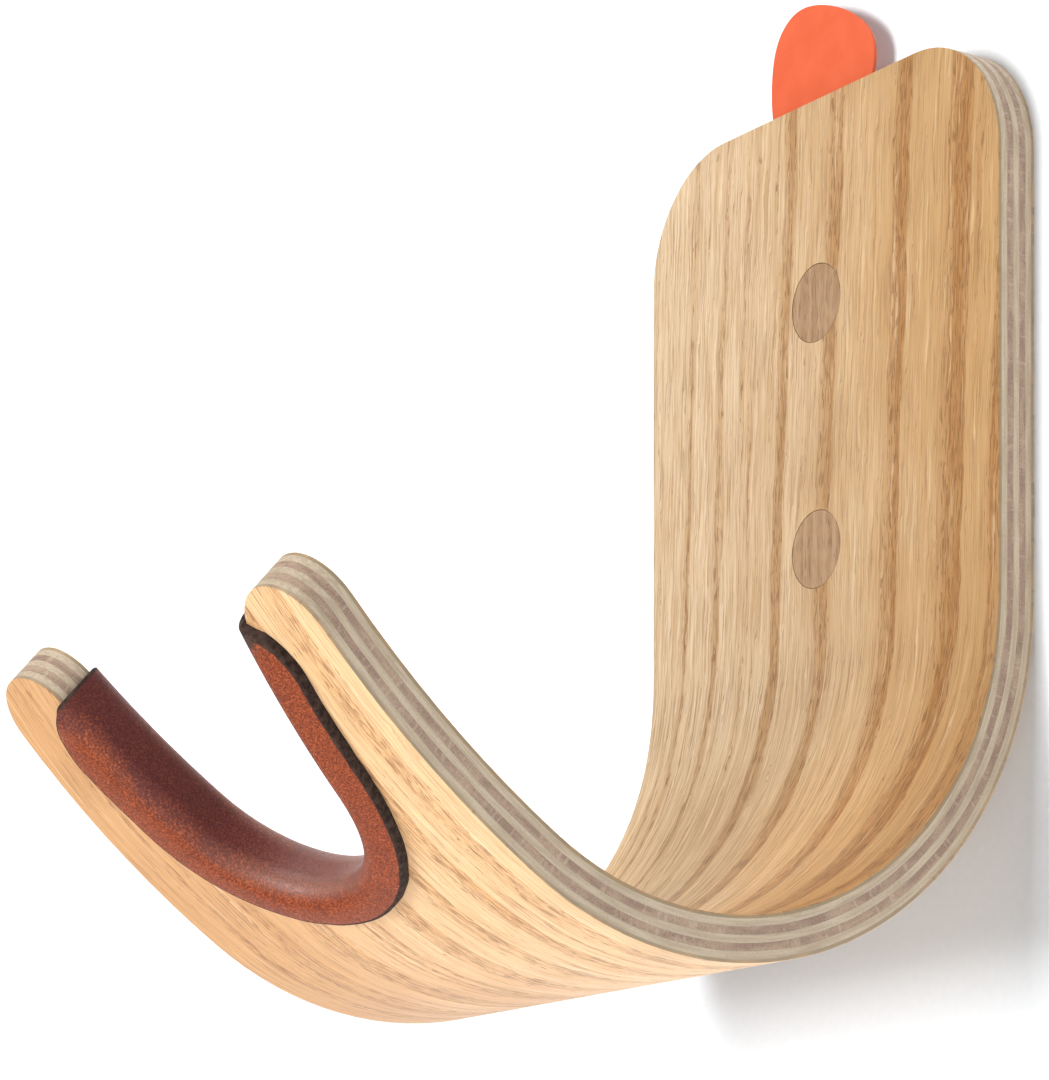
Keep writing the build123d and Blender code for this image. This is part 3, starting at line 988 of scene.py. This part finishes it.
def soft_light(name, place, aim, size, power, colour=(1, 1, 1)):
    """A square soft box pointing at a place."""
    data = bpy.data.lights.new(name, "AREA")
    data.shape = "SQUARE"
    data.size = size
    data.energy = power
    data.color = colour
    light = bpy.data.objects.new(name, data)
    light.location = place
    light.rotation_euler = (Vector(aim) - Vector(place)).to_track_quat("-Z", "Y").to_euler()
    light.visible_camera = False
    bpy.context.scene.collection.objects.link(light)
    return light


middle = (cad_box[0] + cad_box[1]) / 2
KEY_PLACE = (-0.25, -1.56, -0.02)
soft_light("key", KEY_PLACE, middle, 0.6, 16)
fill = soft_light("fill_low", (0.35, -0.75, -1.15), middle, 1.1, 6, (1.0, 0.97, 0.94))
side = soft_light("side", (1.6, -0.35, 0.1), middle, 0.8, 3, (0.97, 0.98, 1.0))
top = soft_light("top", (-0.1, -0.8, 1.2), middle, 0.9, 11)
soft_light("behind", (-0.6, 1.4, 0.6), middle, 0.9, 14)

# The wall takes no light from the fill lights, and some more from the key, so the key's shadow shows on it
wall_wash = soft_light("wall_wash", KEY_PLACE, middle, 0.8, 13)
wall_only = bpy.data.collections.new("wall_only")
wall_only.objects.link(wall)
wall_wash.light_linking.receiver_collection = wall_only
not_wall = bpy.data.collections.new("not_wall")
not_wall.objects.link(wall)
not_wall.collection_objects[0].light_linking.link_state = "EXCLUDE"
for light in (fill, side, top):
    light.light_linking.receiver_collection = not_wall

# The world looks white to the camera, and lights the scene only faintly
WORLD_LIGHT = 0.25
world = bpy.data.worlds.new("studio")
bpy.context.scene.world = world
world.use_nodes = True
sky = Tree(world.node_tree)
seen = sky.node("ShaderNodeLightPath").outputs["Is Camera Ray"]
background = world.node_tree.nodes["Background"]
sky.feed(background.inputs["Color"], (1, 1, 1, 1))
sky.feed(background.inputs["Strength"], sky.choose(seen, WORLD_LIGHT, 1.0))

bpy.context.scene.view_settings.view_transform = "Standard"

camera = bpy.data.objects.new("camera", bpy.data.cameras.new("camera"))
bpy.context.scene.collection.objects.link(camera)
camera.location = CAMERA_PLACE
camera.rotation_euler = (math.radians(90), 0, math.radians(CAMERA_AZIMUTH))
camera.data.lens = CAMERA_LENS
camera.data.clip_start = 0.01
bpy.context.scene.camera = camera

# The lens is shifted only at the picture's own place, so a camera moved elsewhere looks straight ahead
shift = camera.data.driver_add("shift_y").driver
shift.type = "SCRIPTED"
home = shift.variables.new()
home.name = "x"
home.type = "TRANSFORMS"
home.targets[0].id = camera
home.targets[0].transform_type = "LOC_X"
home.targets[0].transform_space = "WORLD_SPACE"
shift.expression = f"{CAMERA_SHIFT} if abs(x - {CAMERA_PLACE[0]}) < 0.0001 else 0.0"
